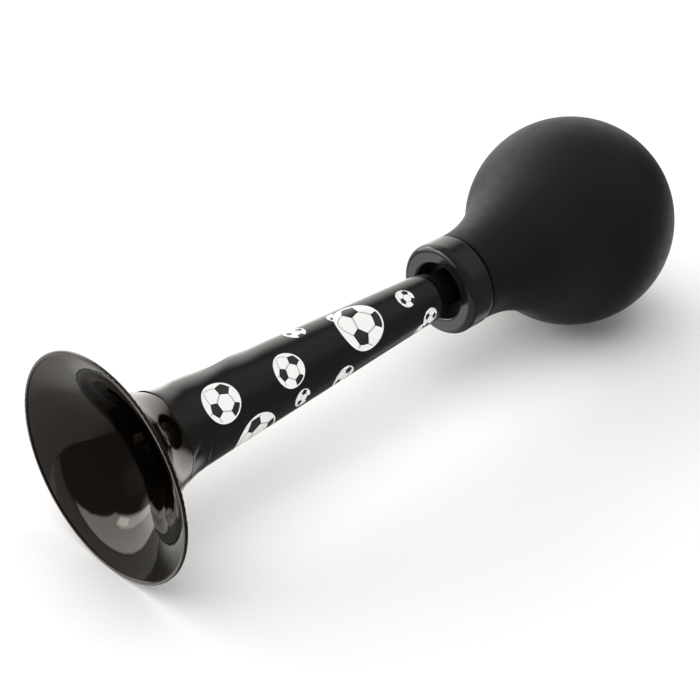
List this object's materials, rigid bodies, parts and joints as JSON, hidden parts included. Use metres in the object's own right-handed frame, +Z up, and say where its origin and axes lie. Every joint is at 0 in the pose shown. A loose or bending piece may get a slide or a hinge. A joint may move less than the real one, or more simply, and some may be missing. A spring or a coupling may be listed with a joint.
{
  "type": "squeeze bulb horn",
  "caption": "Hand horn with a flared trumpet, a football-printed sleeve on its tapered tube, a collar and a hollow squeeze bulb that blows an inner reed.",
  "frame": {"origin": "on the ground below the middle of the horn as it lies on its side, resting on the bell's rim and on the bulb", "axes": "+Y along the horn's axis from the bell's mouth to the bulb, +Z up, +X to the right seen from the mouth"},
  "size_m": [0.072, 0.24, 0.072],
  "materials": {
    "gloss_black": "gloss",
    "printed_film": "gloss",
    "collar_black": "gloss",
    "bulb_rubber": "matte",
    "holder_black": "matte",
    "reed_plastic": "satin",
    "reed_brass": "satin"
  },
  "bodies": {
    "horn": {"trumpet": "gloss_black", "print_sleeve": "printed_film"},
    "reed_unit": {"reed_holder": "holder_black", "collar": "collar_black", "reed_tube": "reed_plastic", "reed_clip": "holder_black"},
    "tongue": {"reed_tongue": "reed_brass"},
    "bulb": {"bulb": "bulb_rubber"}
  },
  "joints": [
    {"name": "trumpet_pull", "type": "slide", "parent": "horn", "child": "reed_unit", "axis": [0, 1, 0], "range_m": [0, 0.03]},
    {"name": "reed_flex", "type": "hinge", "parent": "reed_unit", "child": "tongue", "pos_m": [0, 0.043, 0.03762], "axis": [1, 0, 0], "range_deg": [-2.4, 3], "stiffness_Nm_per_rad": 0.02, "deforming": ["reed_tongue"]},
    {"name": "bulb_squeeze", "type": "slide", "parent": "reed_unit", "child": "bulb", "axis": [0, -1, 0], "range_m": [0, 0.022], "stiffness_N_per_m": 900, "deforming": ["bulb"]}
  ]
}
